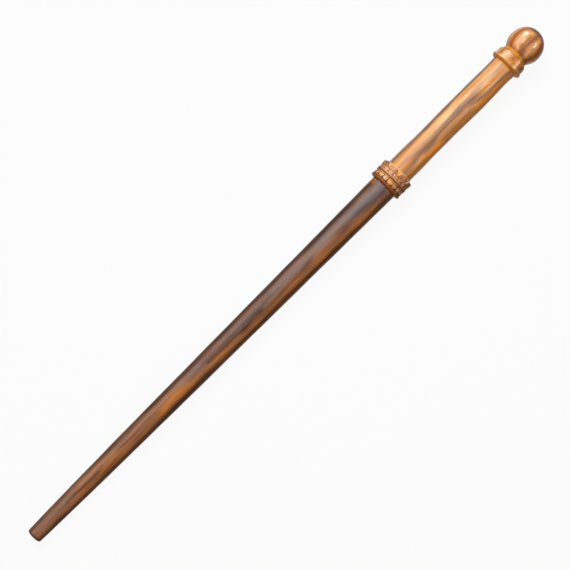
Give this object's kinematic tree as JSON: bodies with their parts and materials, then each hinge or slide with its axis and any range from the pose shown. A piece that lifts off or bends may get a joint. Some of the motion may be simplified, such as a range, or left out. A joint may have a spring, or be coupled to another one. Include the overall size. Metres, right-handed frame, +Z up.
{
  "type": "magic wand",
  "caption": "Turned wooden wand with a tapered dark shaft, two carved guard rings, a light grip and a ball pommel; it unscrews at the guard and at the neck.",
  "frame": {"origin": "on the wand's axis at the guard's front shoulder, where the shaft leaves the guard", "axes": "+X along the axis towards the tip, +Z up with the wand lying flat, +Y across it"},
  "size_m": [0.3588, 0.0186, 0.0186],
  "materials": {
    "dark_wood": "lacquered walnut, glossy",
    "ring_wood": "carved and lacquered reddish wood",
    "grip_wood": "lacquered golden wood with dark streaks, glossy",
    "collar_wood": "lacquered golden wood, glossy",
    "neck_wood": "lacquered mustard yellow wood",
    "ball_wood": "lacquered golden wood, glossy",
    "fibre": "dark brown vulcanised fibre, matt",
    "brass": "turned brass",
    "steel": "zinc-plated steel"
  },
  "bodies": {
    "handle": {"handle_ring": "ring_wood", "joint_stud": "brass", "grip": "grip_wood", "tie_rod": "steel", "pommel_collar": "collar_wood", "rod_washer": "steel", "rod_nut": "steel"},
    "spacer": {"joint_spacer": "fibre"},
    "shaft_half": {"shaft": "dark_wood", "shaft_ring": "ring_wood", "shaft_insert": "brass"},
    "neck": {"neck_ring": "neck_wood"},
    "pommel": {"pommel_ball": "ball_wood", "ball_insert": "brass"}
  },
  "joints": [
    {"name": "shaft_travel", "type": "slide", "parent": "handle", "child": "spacer", "axis": [1, 0, 0], "range_m": [0, 0.009]},
    {"name": "shaft_unscrew", "type": "hinge", "parent": "spacer", "child": "shaft_half", "pos_m": [0, 0, 0], "axis": [1, 0, 0], "range_deg": [0, 2160]},
    {"name": "pommel_travel", "type": "slide", "parent": "handle", "child": "neck", "axis": [-1, 0, 0], "range_m": [0, 0.0056]},
    {"name": "pommel_unscrew", "type": "hinge", "parent": "neck", "child": "pommel", "pos_m": [-0.1, 0, 0], "axis": [-1, 0, 0], "range_deg": [0, 2880]}
  ],
  "couplings": [
    {"joint": "shaft_travel", "follows": "shaft_unscrew", "m_per_rad": 0.00023873},
    {"joint": "pommel_travel", "follows": "pommel_unscrew", "m_per_rad": 0.00011141}
  ]
}
